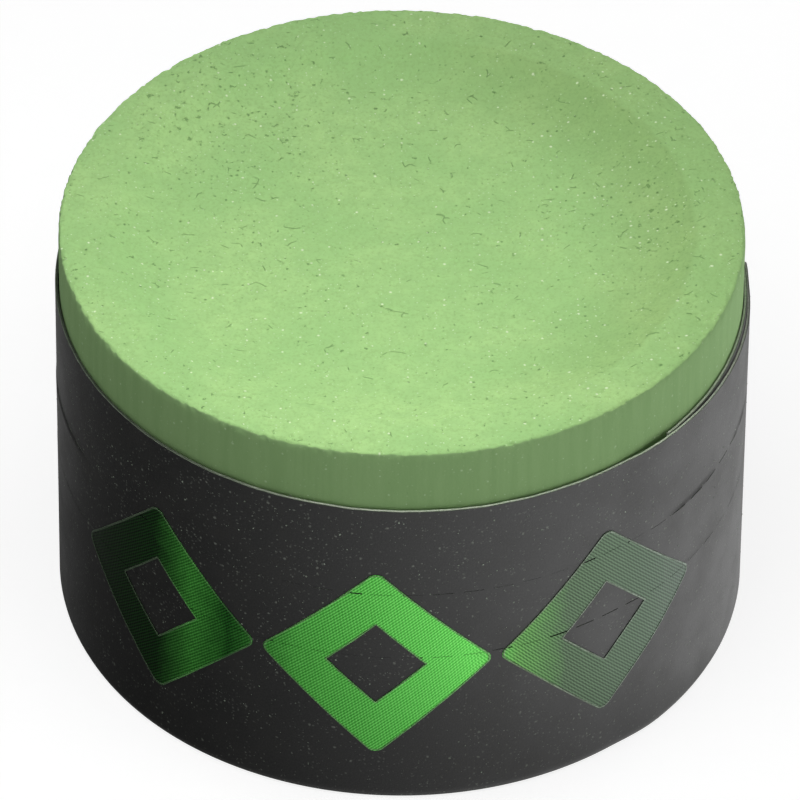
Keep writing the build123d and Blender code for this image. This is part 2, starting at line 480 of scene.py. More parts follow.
def paper_material():
    """Pale uncoated paper, seen at its cut edge, with torn fibres, and painted darker on the left as shade.
    """
    n = material_nodes("label_paper")
    fibre = n.noise(n.mm, 9.0, detail=4.0, roughness=0.7)
    patch = n.noise(n.mm, 0.8, detail=3.0)
    colour = n.mix(n.ramp(fibre, 0.3, 0.7), srgb(200, 211, 190), srgb(236, 243, 226))
    x = n.times_plus(patch, 6.0, n.split(n.mm)[0])
    # painted shade: the paper's cut edge darker towards the left
    colour = n.mix(n.ramp(x, -9.0, 5.0), srgb(70, 78, 66), colour)
    return n.finish(colour, 0.9, n.bump(fibre, 0.02), specular=0.2)


def shaded_glue_material():
    """Dried label glue down in the groove, coloured dark as painted shade in the groove."""
    n = material_nodes("glue")
    lumps = n.noise(n.mm, 4.0, detail=3.0)
    # dark colour: painted shade in the groove
    colour = n.mix(n.ramp(lumps, 0.3, 0.7), srgb(44, 52, 36), srgb(66, 74, 54))
    return n.finish(colour, n.ramp(lumps, 0.3, 0.7, 0.45, 0.7), n.bump(lumps, 0.02), specular=0.4)


FOIL_SPAN = (-70.0, 70.0)
FOIL_REFLECTION_STOPS = (
    # angle, colour on the hatch lines, colour between them, as painted reflection that changes round the
    # chalk
    (-66, (62, 84, 56), (30, 44, 28)),
    (-44, (44, 104, 42), (18, 50, 17)),
    (-36, (120, 236, 104), (64, 168, 54)),
    (-29, (52, 140, 50), (20, 72, 20)),
    (-17, (128, 238, 112), (70, 180, 60)),
    (12, (134, 240, 116), (80, 190, 70)),
    (20, (116, 176, 96), (62, 108, 52)),
    (29, (96, 120, 92), (56, 72, 54)),
    (60, (96, 112, 100), (62, 74, 64)),
)


def label_turn(n):
    """The distance in millimetres round the label from its front, and a 0 to 1 share of the foil's span."""
    turn = n.turn_mm(LABEL_RADIUS)
    low, high = (math.radians(angle) * LABEL_RADIUS for angle in FOIL_SPAN)
    return turn, n.math("DIVIDE", n.minus(turn, low), high - low)


def ramp_stops(rows, which=1):
    """A colour ramp's stops from rows that start with an angle, with the colour in one of their columns."""
    low, high = FOIL_SPAN
    return [((row[0] - low) / (high - low), srgb(*row[which])) for row in rows]


def hatching(n, turn):
    """Fine crossing ruled lines: rising on the left and in the middle, falling on the right."""
    z = n.split(n.mm)[2]
    wobble = n.times(n.noise(n.mm, 1.6), 1.1)

    def ruled(slant, pitch):
        slant = math.radians(slant)
        along = n.times_plus(turn, math.cos(slant), n.times(z, math.sin(slant)))
        phase = n.times_plus(along, 2 * math.pi / pitch, wobble)
        return n.times_plus(n.math("SINE", phase), 0.5, 0.5)

    to_right = n.ramp(turn, 2.2, 4.4)
    rising = n.times(ruled(-47, 0.125), n.minus(1.0, to_right))
    main = n.times_plus(ruled(42, 0.13), to_right, rising)
    cross = ruled(8, 0.135)
    return n.plus(n.times(main, 0.7), n.times(cross, 0.3))


def foil_material():
    """Green hatched foil, whose colour turns from dark to bright to grey round the chalk as a painted
    reflection.
    """
    n = material_nodes("foil")
    turn, share = label_turn(n)
    lines = hatching(n, turn)
    speckle = n.noise(n.mm, 9.0, roughness=0.7)
    on_line = n.ramp(lines, 0.25, 0.75, 0.0, 0.8)
    lit = n.math("ADD", on_line, n.ramp(speckle, 0.4, 0.7, 0.0, 0.35), clamp=True)
    drift = n.noise(n.mm, 1.4, detail=3.0)
    wander = n.times_plus(drift, 0.03, n.minus(share, 0.015))
    # painted reflection: the foil's colour follows its angle round the chalk
    between, on_lines = (n.colour_ramp(wander, ramp_stops(FOIL_REFLECTION_STOPS, which)) for which in (2, 1))
    colour = n.mix(lit, between, on_lines)
    normal = n.bump(lines, 0.012)
    return n.finish(colour, n.ramp(speckle, 0.3, 0.7, 0.34, 0.5), normal, metallic=0.9)


# angle and colour of the foil's border, as painted reflection that changes round the chalk
RIM_REFLECTION_STOPS = (
    (-66, (96, 112, 92)),
    (-44, (104, 126, 98)),
    (-36, (128, 226, 112)),
    (-29, (84, 150, 78)),
    (-17, (140, 226, 122)),
    (12, (146, 228, 130)),
    (20, (140, 176, 122)),
    (29, (150, 166, 144)),
    (60, (142, 158, 144)),
)


def rim_material():
    """The foil's pressed border: a pale bead, broken into dots where the hatching runs into it, with a
    painted reflection that changes its colour round the chalk.
    """
    n = material_nodes("foil_rim")
    turn, share = label_turn(n)
    wear = n.noise(n.mm, 5.0, detail=3.0)
    gap = n.ramp(hatching(n, turn), 0.25, 0.6, 1.0, 0.0)
    worn = n.larger(n.times(gap, 0.6), n.ramp(wear, 0.45, 0.7, 0.0, 0.5))
    colour = n.mix(worn, n.colour_ramp(share, ramp_stops(RIM_REFLECTION_STOPS)), srgb(64, 84, 60))
    return n.finish(colour, n.ramp(wear, 0.3, 0.7, 0.4, 0.6), n.bump(wear, 0.01), metallic=0.3)


def grain_material(name, dark, pale):
    """Loose chalk grains."""
    n = material_nodes(name)
    mottle = n.noise(n.mm, 12.0)
    return n.finish(n.mix(n.ramp(mottle, 0.3, 0.7), dark, pale), 0.95, n.bump(mottle, 0.01), specular=0.3)


FLOOR_GLOW = 0.85


def floor_material():
    """A matt white light table with a faint tooth."""
    n = material_nodes("tabletop")
    tooth = n.noise(n.mm, 0.8, detail=3.0)
    colour = n.mix(tooth, (0.30, 0.30, 0.30, 1.0), (0.33, 0.33, 0.33, 1.0))
    shader = n.tree.nodes["Principled BSDF"]
    shader.inputs["Emission Color"].default_value = (1.0, 1.0, 1.0, 1.0)
    shader.inputs["Emission Strength"].default_value = FLOOR_GLOW
    return n.finish(colour, 0.9, n.bump(tooth, 0.01), specular=0.0)


CHALK = chalk_material()
FACE = face_material()
PAPER = paper_material()
SHADED_GLUE = shaded_glue_material()
FOIL = foil_material()
RIM = rim_material()
DUST = grain_material("label_dust", srgb(120, 134, 116), srgb(186, 198, 182))
CRUMB = grain_material("chalk_crumbs", srgb(150, 190, 118), srgb(206, 236, 178))


# ------ chalk

CHALK_SEGMENTS = 960
MIDDLE_RINGS = 30
DISH_EDGE_RINGS = 18
RIM_RINGS = 22
SIDE_RINGS = 20
UNDER_RINGS = 6
RIM_ZONE = (11.3, 13.2)
SHOWN_DEPTH = 3.4
DENT_TRIES = 460
CHIP_COUNT = 430
CHIP_ZONE = 0.12


def dish_height(radius):
    """The top's height at each radius: two arcs for the dish, eased into the flat rim at the lip."""
    middle_arc = DISH_MIDDLE_RADIUS / math.sin(DISH_MIDDLE_SLOPE)
    wall_run = math.sin(DISH_WALL_SLOPE) - math.sin(DISH_MIDDLE_SLOPE)
    wall_arc = (DISH_RADIUS - DISH_MIDDLE_RADIUS) / wall_run
    middle_rise = middle_arc * (1 - math.cos(DISH_MIDDLE_SLOPE))
    wall_rise = wall_arc * (math.cos(DISH_MIDDLE_SLOPE) - math.cos(DISH_WALL_SLOPE))
    bottom = CHALK_HEIGHT - middle_rise - wall_rise
    in_middle = bottom + middle_arc - np.sqrt(middle_arc**2 - np.minimum(radius, DISH_MIDDLE_RADIUS) ** 2)
    centre_out = DISH_MIDDLE_RADIUS - wall_arc * math.sin(DISH_MIDDLE_SLOPE)
    centre_up = bottom + middle_rise + wall_arc * math.cos(DISH_MIDDLE_SLOPE)
    reach = np.clip(radius - centre_out, 0.0, 0.9 * wall_arc)
    in_wall = centre_up - np.sqrt(wall_arc**2 - reach**2)
    dish = np.where(radius < DISH_MIDDLE_RADIUS, in_middle, in_wall)
    return -DISH_LIP_SOFTNESS * np.logaddexp(-dish / DISH_LIP_SOFTNESS, -CHALK_HEIGHT / DISH_LIP_SOFTNESS)


def chalk_profile():
    """Radius and height of each ring, from the middle of the dish over the edge and under the foot."""
    rim = CHALK_RADIUS - TOP_EDGE_RADIUS
    top = np.concatenate([
        np.linspace(RIM_ZONE[0] / MIDDLE_RINGS, RIM_ZONE[0], MIDDLE_RINGS),
        np.linspace(*RIM_ZONE, DISH_EDGE_RINGS + 1)[1:],
        np.linspace(RIM_ZONE[1], rim, RIM_RINGS + 1)[1:],
    ])
    turn = np.radians(np.linspace(22.5, 90, 4))
    edge_r = rim + TOP_EDGE_RADIUS * np.sin(turn)
    edge_z = CHALK_HEIGHT - TOP_EDGE_RADIUS * (1 - np.cos(turn))
    side_z = np.linspace(edge_z[-1], CHALK_HEIGHT - SHOWN_DEPTH, SIDE_RINGS + 1)[1:]
    foot = CHALK_RADIUS - FOOT_CHAMFER
    under = np.linspace(foot, foot / UNDER_RINGS, UNDER_RINGS)
    low_z = [CHALK_HEIGHT / 2, FOOT_CHAMFER]
    radius = np.concatenate([top, edge_r, np.full(SIDE_RINGS + len(low_z), CHALK_RADIUS), under])
    height = np.concatenate([dish_height(top), edge_z, side_z, low_z, np.zeros(UNDER_RINGS)])
    return radius, height


def scattered_dents(points, centres, sizes, depths):
    """How far in each point is pushed by round dents, given by middle, size and depth."""
    pushed = np.zeros(len(points))
    for centre, size, depth in zip(centres, sizes, depths):
        near = np.abs(points - centre).max(axis=1) < 2.5 * size
        apart = np.square(points[near] - centre).sum(axis=1) / size**2
        pushed[near] = np.maximum(pushed[near], depth * np.exp(-apart))
    return pushed


def chalk_wear(points, normals):
    """Every point's move along its normal: grain, worn dents on top and a crumbling top edge."""
    noise = LatticeNoise(3)
    random = np.random.default_rng(11)
    radius = np.hypot(points[:, 0], points[:, 1])
    shown = smoothstep(CHALK_HEIGHT - SHOWN_DEPTH, CHALK_HEIGHT - SHOWN_DEPTH + 0.3, points[:, 2])
    edge_gap = np.hypot(radius - CHALK_RADIUS, points[:, 2] - CHALK_HEIGHT)
    edge = 1.0 - smoothstep(0.12, 0.5, edge_gap)

    move = 0.010 * noise(points, 0.9) + 0.006 * noise(points, 0.4) - 0.008
    streaks = points * (1.0, 1.0, 0.12)
    move += 0.002 * noise(streaks, 0.5) * smoothstep(0.5, 0.9, 1 - np.abs(normals[:, 2]))
    move += edge * (0.006 * noise(points, 0.36) + 0.026 * noise(points + 7.3, 0.18) - 0.022)
    move += 0.022 * edge * noise(points + 3.1, 0.11)

    # dents lie thickest at the back left and along the right of the dish's edge
    spot_r = random.uniform(RIM_ZONE[0], CHALK_RADIUS - 0.3, DENT_TRIES)
    spot_a = random.uniform(-180, 180, DENT_TRIES)
    back_left = np.exp(-((spot_a + 150) / 45) ** 2)
    right = np.exp(-((spot_a - 70) / 42) ** 2)
    keep = random.random(DENT_TRIES) < 0.22 + 0.60 * np.maximum(back_left, right)
    centres = placed(spot_r[keep], spot_a[keep], dish_height(spot_r[keep]))
    sizes = random.uniform(0.08, 0.16, len(centres))
    move -= scattered_dents(points, centres, sizes, sizes * random.uniform(0.3, 0.6, len(centres)))

    # chips out of the top edge
    chip_a = random.uniform(-180, 180, CHIP_COUNT)
    chip_r = CHALK_RADIUS - random.uniform(0.0, CHIP_ZONE, CHIP_COUNT)
    centres = placed(chip_r, chip_a, CHALK_HEIGHT - random.uniform(0.0, CHIP_ZONE, CHIP_COUNT))
    sizes = 0.05 + 0.10 * random.random(CHIP_COUNT) ** 2.5
    move -= scattered_dents(points, centres, sizes, sizes * random.uniform(0.3, 0.6, CHIP_COUNT))
    return move * shown


def build_chalk():
    """The whole chalk as one lathed skin, moved along its normals by its wear."""
    radius, height = chalk_profile()
    run_r, run_z = np.gradient(radius), np.gradient(height)
    length = np.hypot(run_r, run_z)
    angles = np.arange(CHALK_SEGMENTS) * 360.0 / CHALK_SEGMENTS
    points = placed(radius[:, None], angles, height[:, None]).reshape(-1, 3)
    normals = placed((-run_z / length)[:, None], angles, (run_r / length)[:, None]).reshape(-1, 3)
    points = points + normals * chalk_wear(points, normals)[:, None]
    poles = [[0, 0, dish_height(np.array(0.0))], [0, 0, 0]]
    faces = lathe_faces(len(radius), CHALK_SEGMENTS)
    piece = make_object("chalk_skin", np.vstack([points, poles]), faces, CHALK)
    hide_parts("chalk_body")


# ------ wound strip

SLIT_HALF_ANGLE = math.degrees(SLIT_LENGTH / 2 / LABEL_RADIUS)
MOST_SLITS = 360
TIGHT_GAPE, TIGHT_SPREAD = 0.12, 0.25
UPPER_GAPE, LOWER_GAPE = 0.75, 0.6
UPPER_STAND_OFF, LOWER_STAND_OFF = 0.045, 0.015
EDGE_CURL = 0.10
EDGE_CURL_HEIGHT = 0.35
END_LIFT = 0.10
END_LIFT_ANGLE = 9.0

# Where slits stand open, and where the band under them is loose: start, full, fading and end
OPEN_UPPER_LEFT = (-88.0, -80.0, -70.0, -60.0)
OPEN_UPPER_RIGHT = (48.0, 53.0, 78.0, 86.0)
OPEN_LOWER = (10.0, 20.0, 42.0, 52.0)
LOOSE_LEFT = (-92.0, -82.0, -70.0, -62.0)
LOOSE_RIGHT = (49.0, 54.0, 60.0, 66.0)
LOOSE_FAR_RIGHT = (70.0, 74.0, 80.0, 86.0)


def strip_radius(angle, offset):
    """The strip's radius at an angle along its winding, at a distance out from its glued side."""
    climb = smoothstep(CLIMB_START, CLIMB_END, angle)
    return GLUE_RADIUS + climb * (STRIP_THICKNESS + LAP_GLUE_THICKNESS) + offset


def strip_top(angle):
    """The height of the strip's top edge, which leans to the right and drops along the tail."""
    y = around(LABEL_RADIUS, angle)[1]
    tail_from = around(LABEL_RADIUS, STRIP_START)[1]
    tail_to = around(LABEL_RADIUS, STRIP_END)[1]
    along_tail = np.clip((y - tail_from) / (tail_to - tail_from), 0.0, 1.0)
    dropped = np.where(angle > CLIMB_END, TAIL_DROP * along_tail, 0.0)
    return STRIP_TOP - STRIP_LEAN * np.sin(np.radians(angle)) - dropped


def strip_columns():
    """Angles of the mesh columns: each slit's two ends are columns, with others between."""
    in_slit = SLIT_SPACING / 2 + SLIT_HALF_ANGLE * np.array([-1.0, -0.5, 0.0, 0.5, 1.0])
    pattern = [0.0, *in_slit]
    count = round((STRIP_END - STRIP_START) / SLIT_SPACING)
    columns = [STRIP_START + SLIT_SPACING * cell + step for cell in range(count) for step in pattern]
    return np.array(columns + [STRIP_END])


def strip_rows():
    """Shares of the strip's height for the mesh rows, and which rows of cells hold slits."""
    span = STRIP_TOP - STRIP_BOTTOM
    rows = {0.0, 0.08, 0.18, 0.30, 0.45, 0.7, 1.0, span - 0.6, span - 0.3, span - 0.12, span - 0.04, span}
    rows |= set(np.arange(1.6, span - 0.8, 0.55).round(3))
    for height in SLIT_ROW_HEIGHTS:
        centre = height - STRIP_BOTTOM
        rows = {row for row in rows if abs(row - centre) > 0.35}
        rows |= {centre + step for step in (-0.3, -0.12, -SLIT_WIDTH / 2, SLIT_WIDTH / 2, 0.12, 0.3)}
    rows = np.array(sorted(rows))
    centres = [height - STRIP_BOTTOM for height in SLIT_ROW_HEIGHTS]
    middles = (rows[1:] + rows[:-1]) / 2
    slit_rows = np.array([any(abs(middle - c) < SLIT_WIDTH / 3 for c in centres) for middle in middles])
    return rows, slit_rows


def slit_gape(angle, row):
    """How far the slits of the nearer row stand open, from 0 to 1, at each angle."""
    turned = (angle + 180.0) % 360.0 - 180.0
    in_upper = row > sum(SLIT_ROW_HEIGHTS) / 2
    tight = TIGHT_GAPE + TIGHT_SPREAD * np.random.default_rng(51).random((MOST_SLITS, 2))
    slit = np.floor((angle - STRIP_START) / SLIT_SPACING).astype(int)
    tight_here = tight[np.clip(slit, 0, MOST_SLITS - 1), in_upper.astype(int)]
    upper = np.maximum(stretch(turned, *OPEN_UPPER_LEFT), stretch(turned, *OPEN_UPPER_RIGHT))
    lower = stretch(turned, *OPEN_LOWER)
    return np.maximum(tight_here, np.where(in_upper, UPPER_GAPE * upper, LOWER_GAPE * lower))


def strip_height(angle, row):
    """The height of a mesh row at each angle: level at the foot, leaning at the slits and the top edge."""
    span = STRIP_TOP - STRIP_BOTTOM
    for height in SLIT_ROW_HEIGHTS:
        from_slit = row - (height - STRIP_BOTTOM)
        lip = np.abs(from_slit) < SLIT_WIDTH * 0.6
        row = np.where(lip, row - from_slit * (1.0 - slit_gape(angle, row)), row)
    slit_low, slit_high = (height - STRIP_BOTTOM for height in SLIT_ROW_HEIGHTS)
    slit_lean = -SLIT_ROW_LEAN * np.sin(np.radians(angle))
    top_shift = strip_top(angle) - STRIP_TOP
    below = smoothstep(1.0, slit_low - 0.4, row)
    above = smoothstep(slit_high + 0.4, span - 0.7, row)
    return STRIP_BOTTOM + row + slit_lean * below * (1 - above) + top_shift * above


def strip_ripple(angle, height):
    """How far the strip stands off its winding: loose edges at the slits, a curled foot, a lifted end."""
    turned = (angle + 180.0) % 360.0 - 180.0
    lower, upper = SLIT_ROW_HEIGHTS
    loose_right = stretch(turned, *LOOSE_RIGHT) + 0.8 * stretch(turned, *LOOSE_FAR_RIGHT)
    loose_right *= smoothstep(CLIMB_END, CLIMB_END + 1, angle)
    under_upper = np.where(height < upper, np.exp(-np.abs(height - upper) / 1.6), 0.0)
    under_lower = np.where(height < lower, np.exp(-np.abs(height - lower) / 0.8), 0.0)
    stand_off = UPPER_STAND_OFF * under_upper + LOWER_STAND_OFF * under_lower
    curl = EDGE_CURL * (1.0 - smoothstep(0.0, EDGE_CURL_HEIGHT, height - STRIP_BOTTOM)) ** 2
    lift = END_LIFT * smoothstep(STRIP_END - END_LIFT_ANGLE, STRIP_END, angle) ** 2
    return (stretch(turned, *LOOSE_LEFT) + loose_right) * stand_off - curl + lift


def shell(outer, inner, open_cells):
    """Vertices and faces of a closed sheet between two point grids, with walls round every opening."""
    rows, columns = outer.shape[:2]
    back = rows * columns
    index = np.arange(back).reshape(rows, columns)
    faces = []
    for i in range(rows - 1):
        for k in range(columns - 1):
            if open_cells[i, k]:
                continue
            a, b, c, d = index[i, k], index[i, k + 1], index[i + 1, k + 1], index[i + 1, k]
            faces.append((a, b, c, d))
            faces.append((back + d, back + c, back + b, back + a))
            around_cell = ((i - 1, k, a, b), (i, k + 1, b, c), (i + 1, k, c, d), (i, k - 1, d, a))
            for row, column, first, second in around_cell:
                outside = not (0 <= row < rows - 1 and 0 <= column < columns - 1)
                if outside or open_cells[row, column]:
                    faces.append((second, first, back + first, back + second))
    points = np.vstack([outer.reshape(-1, 3), inner.reshape(-1, 3)])
    return points, [tuple(int(v) for v in face) for face in faces]


def build_ply(name, node, material, inner_offset, outer_offset):
    """One ply of the wound strip with its slits cut through."""
    columns = strip_columns()
    rows, slit_rows = strip_rows()
    angle, row = np.meshgrid(columns, rows)
    height = strip_height(angle, row)
    nibble = LatticeNoise(21)
    at = placed(LABEL_RADIUS, angle, height)
    on_edge = smoothstep(rows[-1] - 0.2, rows[-1], row)
    height = height + on_edge * (0.018 * nibble(at, 0.5) + 0.012 * nibble(at, 1.7))
    ripple = strip_ripple(angle, height)

    outer = placed(strip_radius(angle, outer_offset) + ripple, angle, height)
    inner = placed(strip_radius(angle, inner_offset) + ripple, angle, height)
    middle = (columns[1:] + columns[:-1]) / 2
    slit_columns = np.abs((middle % SLIT_SPACING) - SLIT_SPACING / 2) < SLIT_HALF_ANGLE
    open_cells = slit_rows[:, None] & slit_columns[None, :]
    points, faces = shell(outer, inner, open_cells)
    piece = make_object(name, points, faces, material)
    crisp_cuts = piece.modifiers.new("crisp_cuts", "EDGE_SPLIT")
    crisp_cuts.split_angle = math.radians(40)
    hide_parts(node)


# ------ foil borders

DIAMONDS = {"left": -43.5, "centre": -3.5, "right": 36.5}
DIAMOND_HALF_WIDTH = 4.9
DIAMOND_HALF_HEIGHT = 5.15
DIAMOND_CENTRE_HEIGHT = 7.65
DIAMOND_CORNER_RADIUS = 0.45
WINDOW_SCALE = 0.42
RIM_HALF_WIDTH = 0.04
RIM_HEIGHT = 0.016
RIM_INSET = 1.45 * RIM_HALF_WIDTH
WINDOW_CORNER_RADIUS = 0.06
LIP_GAP = 0.016
LIP_OFFSETS = (0.9 * FOIL_THICKNESS, 0.002)


def rounded_diamond(half_width, half_height, corner_radius, step=0.12):
    """Points round a diamond with rounded corners, evenly spaced."""
    corners = [(half_width, 0.0), (0.0, half_height), (-half_width, 0.0), (0.0, -half_height)]
    points = []
    for k in range(4):
        here, before, after = (Vector(corners[(k + j) % 4]) for j in (0, -1, 1))
        into, out = (here - before).normalized(), (after - here).normalized()
        turn = math.acos(max(-1.0, min(1.0, into.dot(out))))
        cut = corner_radius * math.tan(turn / 2)
        centre = here - into * cut + Vector((-into.y, into.x)) * corner_radius
        start = math.atan2(*(here - into * cut - centre).yx)
        arc_steps = max(2, round(corner_radius * turn / step))
        for j in range(arc_steps + 1):
            bearing = start + turn * j / arc_steps
            points.append(centre + corner_radius * Vector((math.cos(bearing), math.sin(bearing))))
        run_start, run_end = here + out * cut, after - out * corner_radius * math.tan((math.pi - turn) / 2)
        run_steps = max(2, round((run_end - run_start).length / step))
        points += [run_start.lerp(run_end, j / run_steps) for j in range(1, run_steps)]
    return np.array([tuple(point) for point in points])


def on_strip(angle_centre, flat, lift):
    """Points of a flat outline laid on the strip's outer face round an angle, lifted off it."""
    angle = angle_centre + np.degrees(np.arcsin(flat[:, 0] / LABEL_RADIUS))
    radius = strip_radius(angle + 360.0, STRIP_THICKNESS) + lift
    return placed(radius, angle, DIAMOND_CENTRE_HEIGHT + flat[:, 1])


def joined(parts):
    """One list of points and one of faces from several (points, faces) parts."""
    all_faces, start = [], 0
    for points, faces in parts:
        all_faces += [tuple(start + v for v in face) for face in faces]
        start += len(points)
    return np.vstack([points for points, faces in parts]), all_faces


def bead(centre_line, outward):
    """A low rounded bead along a closed line on the strip, as a closed tube with a flat section."""
    sections = 8
    along = np.roll(centre_line, -1, axis=0) - np.roll(centre_line, 1, axis=0)
    along /= np.linalg.norm(along, axis=1)[:, None]
    across = np.cross(outward, along)
    across /= np.linalg.norm(across, axis=1)[:, None]
    rings = []
    for k in range(sections):
        turn = 2 * math.pi * k / sections
        sideways = across * RIM_HALF_WIDTH * math.cos(turn)
        rings.append(centre_line + sideways + outward * RIM_HEIGHT * math.sin(turn))
    points = np.concatenate(rings)
    count = len(centre_line)
    faces = []
    for k in range(sections):
        here, after = k * count, ((k + 1) % sections) * count
        for j in range(count):
            nxt = (j + 1) % count
            faces.append((here + j, here + nxt, after + nxt, after + j))
    return points, faces


def build_rims(side, angle_centre):
    """The pale pressed border along a foil diamond's outline and along its window."""
    parts = []
    shapes = ((1.0, -RIM_INSET, DIAMOND_CORNER_RADIUS), (WINDOW_SCALE, RIM_INSET, WINDOW_CORNER_RADIUS))
    for scale, inset, corner_radius in shapes:
        half_width, half_height = scale * DIAMOND_HALF_WIDTH + inset, scale * DIAMOND_HALF_HEIGHT + inset
        flat = rounded_diamond(half_width, half_height, corner_radius)
        centre_line = on_strip(angle_centre, flat, FOIL_THICKNESS)
        outward = centre_line * (1.0, 1.0, 0.0)
        outward /= np.linalg.norm(outward, axis=1)[:, None]
        parts.append(bead(centre_line, outward))
    piece = make_object(f"diamond_rim_{side}", *joined(parts), RIM)


def build_slit_lips(side, angle_centre):
    """The foil's edges along each slit that crosses a diamond, which close its slot to a hairline."""
    parts = []
    cells = np.arange(round(360.0 / SLIT_SPACING))
    for row_height in SLIT_ROW_HEIGHTS:
        for angle in (cells + 0.5) * SLIT_SPACING:
            turned = (angle - angle_centre + 180.0) % 360.0 - 180.0
            height = row_height - SLIT_ROW_LEAN * math.sin(math.radians(angle))
            if not slit_in_foil(turned, height):
                continue
            columns = 360.0 + angle_centre + turned + np.linspace(-SLIT_HALF_ANGLE, SLIT_HALF_ANGLE, 5)
            for low, high in ((-SLIT_WIDTH / 2, -LIP_GAP / 2), (LIP_GAP / 2, SLIT_WIDTH / 2)):
                grid_angle, grid_height = np.meshgrid(columns, [height + low, height + high])
                outer, inner = (
                    placed(strip_radius(grid_angle, STRIP_THICKNESS + offset), grid_angle, grid_height)
                    for offset in LIP_OFFSETS
                )
                parts.append(shell(outer, inner, np.zeros((1, len(columns) - 1), bool)))
    piece = make_object(f"diamond_slit_lips_{side}", *joined(parts), FOIL, smooth=False)


def slit_in_foil(turned, height):
    """Whether a whole slit lies on a diamond's foil, clear of its outline and of its window."""
    if abs(turned) > 90.0:
        return False
    for end in (-SLIT_HALF_ANGLE, 0.0, SLIT_HALF_ANGLE):
        across = abs(LABEL_RADIUS * math.sin(math.radians(turned + end))) / DIAMOND_HALF_WIDTH
        share = across + abs(height - DIAMOND_CENTRE_HEIGHT) / DIAMOND_HALF_HEIGHT
        if not WINDOW_SCALE + 0.02 < share < 0.98:
            return False
    return True


# ------ loose grains

DUST_COUNT = 5200
DUST_SIZE, DUST_LARGEST = 0.016, 0.05
EDGE_CRUMBS, EDGE_CRUMB_SIZE = 420, 0.026
TOP_CRUMBS, TOP_CRUMB_SIZE = 380, 0.018
CRUMB_LARGEST = 0.09


def grain_cloud(name, centres, outward, sizes, flatness, material, seed):
    """Many tiny eight-sided grains, each pressed a little into the surface that it lies on."""
    random = np.random.default_rng(seed)
    corners = np.array([(1, 0, 0), (-1, 0, 0), (0, 1, 0), (0, -1, 0), (0, 0, 1), (0, 0, -1)], float)
    sides = [(0, 2, 4), (2, 1, 4), (1, 3, 4), (3, 0, 4), (2, 0, 5), (1, 2, 5), (3, 1, 5), (0, 3, 5)]
    points, faces = [], []
    for centre, out, size in zip(centres, outward, sizes):
        spin = Matrix.Rotation(random.uniform(0, 2 * math.pi), 3, "Z")
        turn = Vector(out).to_track_quat("Z", "Y").to_matrix() @ spin
        shape = corners * size * random.uniform(0.6, 1.3, (6, 3)) * (1.0, 1.0, flatness)
        start = len(points)
        points += [tuple(Vector(centre) + turn @ Vector(corner)) for corner in shape]
        faces += [tuple(start + v for v in side) for side in sides]
    piece = make_object(name, points, faces, material, smooth=False)


def build_label_dust():
    """Chalk dust caught on the printed face."""
    random = np.random.default_rng(31)
    angle = random.uniform(STRIP_END - 360.0, STRIP_END, DUST_COUNT)
    height = STRIP_BOTTOM + 0.4 + (STRIP_TOP - STRIP_BOTTOM - 0.9) * random.random(DUST_COUNT) ** 0.8
    winding = np.where(angle + 360.0 <= STRIP_END, angle + 360.0, angle)
    radius = strip_radius(winding, STRIP_THICKNESS) + strip_ripple(winding, height)
    sizes = np.minimum(DUST_SIZE * np.exp(random.normal(0.0, 0.5, DUST_COUNT)), DUST_LARGEST)
    centres, outward = placed(radius, winding, height), placed(1.0, winding, 0.0)
    grain_cloud("label_dust", centres, outward, sizes, 0.45, DUST, seed=32)


def build_crumbs():
    """Loose crumbs along the chalk's top edge and over its top."""
    random = np.random.default_rng(41)
    edge_angle = random.uniform(-180, 180, EDGE_CRUMBS)
    edge_radius = CHALK_RADIUS - 0.16 - np.abs(random.normal(0.0, 0.25, EDGE_CRUMBS))
    top_angle = random.uniform(-180, 180, TOP_CRUMBS)
    top_radius = (CHALK_RADIUS - 0.6) * np.sqrt(random.random(TOP_CRUMBS))
    angle = np.concatenate([edge_angle, top_angle])
    radius = np.concatenate([edge_radius, top_radius])
    sizes = np.concatenate([
        EDGE_CRUMB_SIZE * np.exp(random.normal(0.0, 0.4, EDGE_CRUMBS)),
        TOP_CRUMB_SIZE * np.exp(random.normal(0.0, 0.4, TOP_CRUMBS)),
    ])
    centres = placed(radius, angle, np.minimum(dish_height(radius), CHALK_HEIGHT - 0.03))
    outward = np.tile((0.0, 0.0, 1.0), (len(angle), 1))
    sizes = np.minimum(sizes, CRUMB_LARGEST)
    grain_cloud("chalk_crumbs", centres, outward, sizes, 0.6, CRUMB, seed=42)


# ------ build the object

build_chalk()
build_ply("label_paper_ply", "label_paper", PAPER, 0.0, PAPER_THICKNESS)
build_ply("label_face_ply", "label_face", FACE, PAPER_THICKNESS, STRIP_THICKNESS)
for side, angle_centre in DIAMONDS.items():
    build_rims(side, angle_centre)
    build_slit_lips(side, angle_centre)
build_label_dust()
build_crumbs()

CAD_FINISHES = {
    "label_glue": SHADED_GLUE,
    "lap_glue": SHADED_GLUE,
    "stamped_diamond_left": FOIL,
    "stamped_diamond_centre": FOIL,
    "stamped_diamond_right": FOIL,
}
for node, material in CAD_FINISHES.items():
    mesh = frame["nodes"][node].data
    mesh.materials.clear()
    mesh.materials.append(material)


# ------ floor, lights and camera

# each ring of the surroundings is a radius and a height, in metres
FLOOR_RINGS = [(4.0, 0.0), (4.3, 0.08), (4.5, 0.3), (4.6, 3.0)]
FLAG_RING = (18.5 * MM, -MM)
FLAG_MIDDLE = (-4.0 * MM, -5.0 * MM)
FLAG_OPACITY = 0.4
DISC_SIDES = 96

